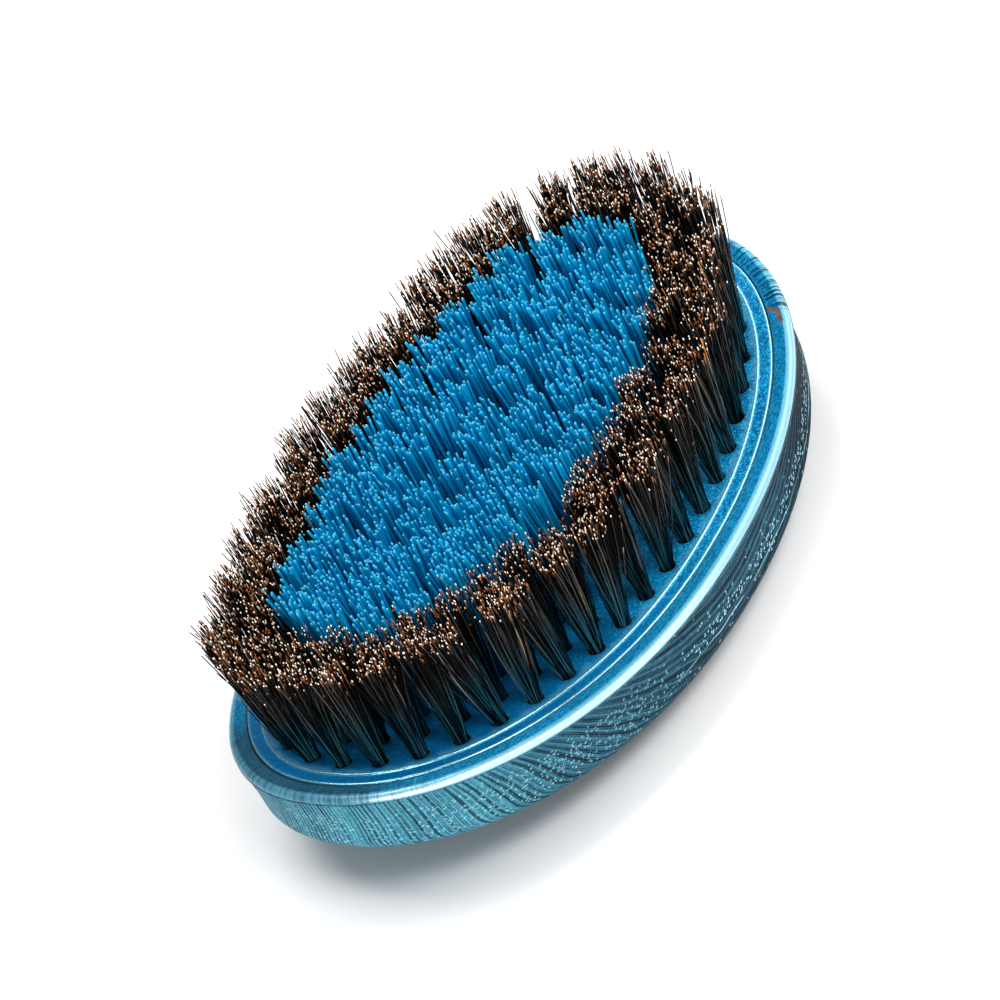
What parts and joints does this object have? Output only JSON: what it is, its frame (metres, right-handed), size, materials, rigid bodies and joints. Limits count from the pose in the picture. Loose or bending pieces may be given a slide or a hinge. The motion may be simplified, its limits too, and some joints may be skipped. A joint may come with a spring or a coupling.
{
  "type": "fade brush",
  "caption": "Oval palm brush: lengthwise curved wooden body, inset drilled plate, outer border of dark boar tufts and inner field of stiffer blue nylon tufts, for blending short hair.",
  "frame": {"origin": "centre of the flat on the brush's back, on the surface the brush lies on", "axes": "+X along the oval's length, +Y across it, +Z out of the face, along the bristles"},
  "size_m": [0.1162, 0.072, 0.0386],
  "materials": {
    "lacquered_wood": "metallic blue lacquer over open wood grain, semi-gloss",
    "satin_plate": "satin metallic blue paint with a fine speckle",
    "wood_glue": "dried wood glue",
    "boar_bristle": "natural dark boar hair with copper tips",
    "nylon_bristle": "translucent cerulean nylon",
    "anchor_wire": "flat galvanised wire"
  },
  "bodies": {
    "root": {"handle_body": "lacquered_wood", "adhesive_film": "wood_glue", "tuft_plate": "satin_plate", "boar_row_outer": "boar_bristle", "boar_row_inner": "boar_bristle", "nylon_row_1": "nylon_bristle", "nylon_row_2": "nylon_bristle", "nylon_row_3": "nylon_bristle", "nylon_row_core": "nylon_bristle", "boar_anchors_outer": "anchor_wire", "boar_anchors_inner": "anchor_wire", "nylon_anchors_1": "anchor_wire", "nylon_anchors_2": "anchor_wire", "nylon_anchors_3": "anchor_wire", "nylon_anchors_core": "anchor_wire"}
  },
  "joints": []
}
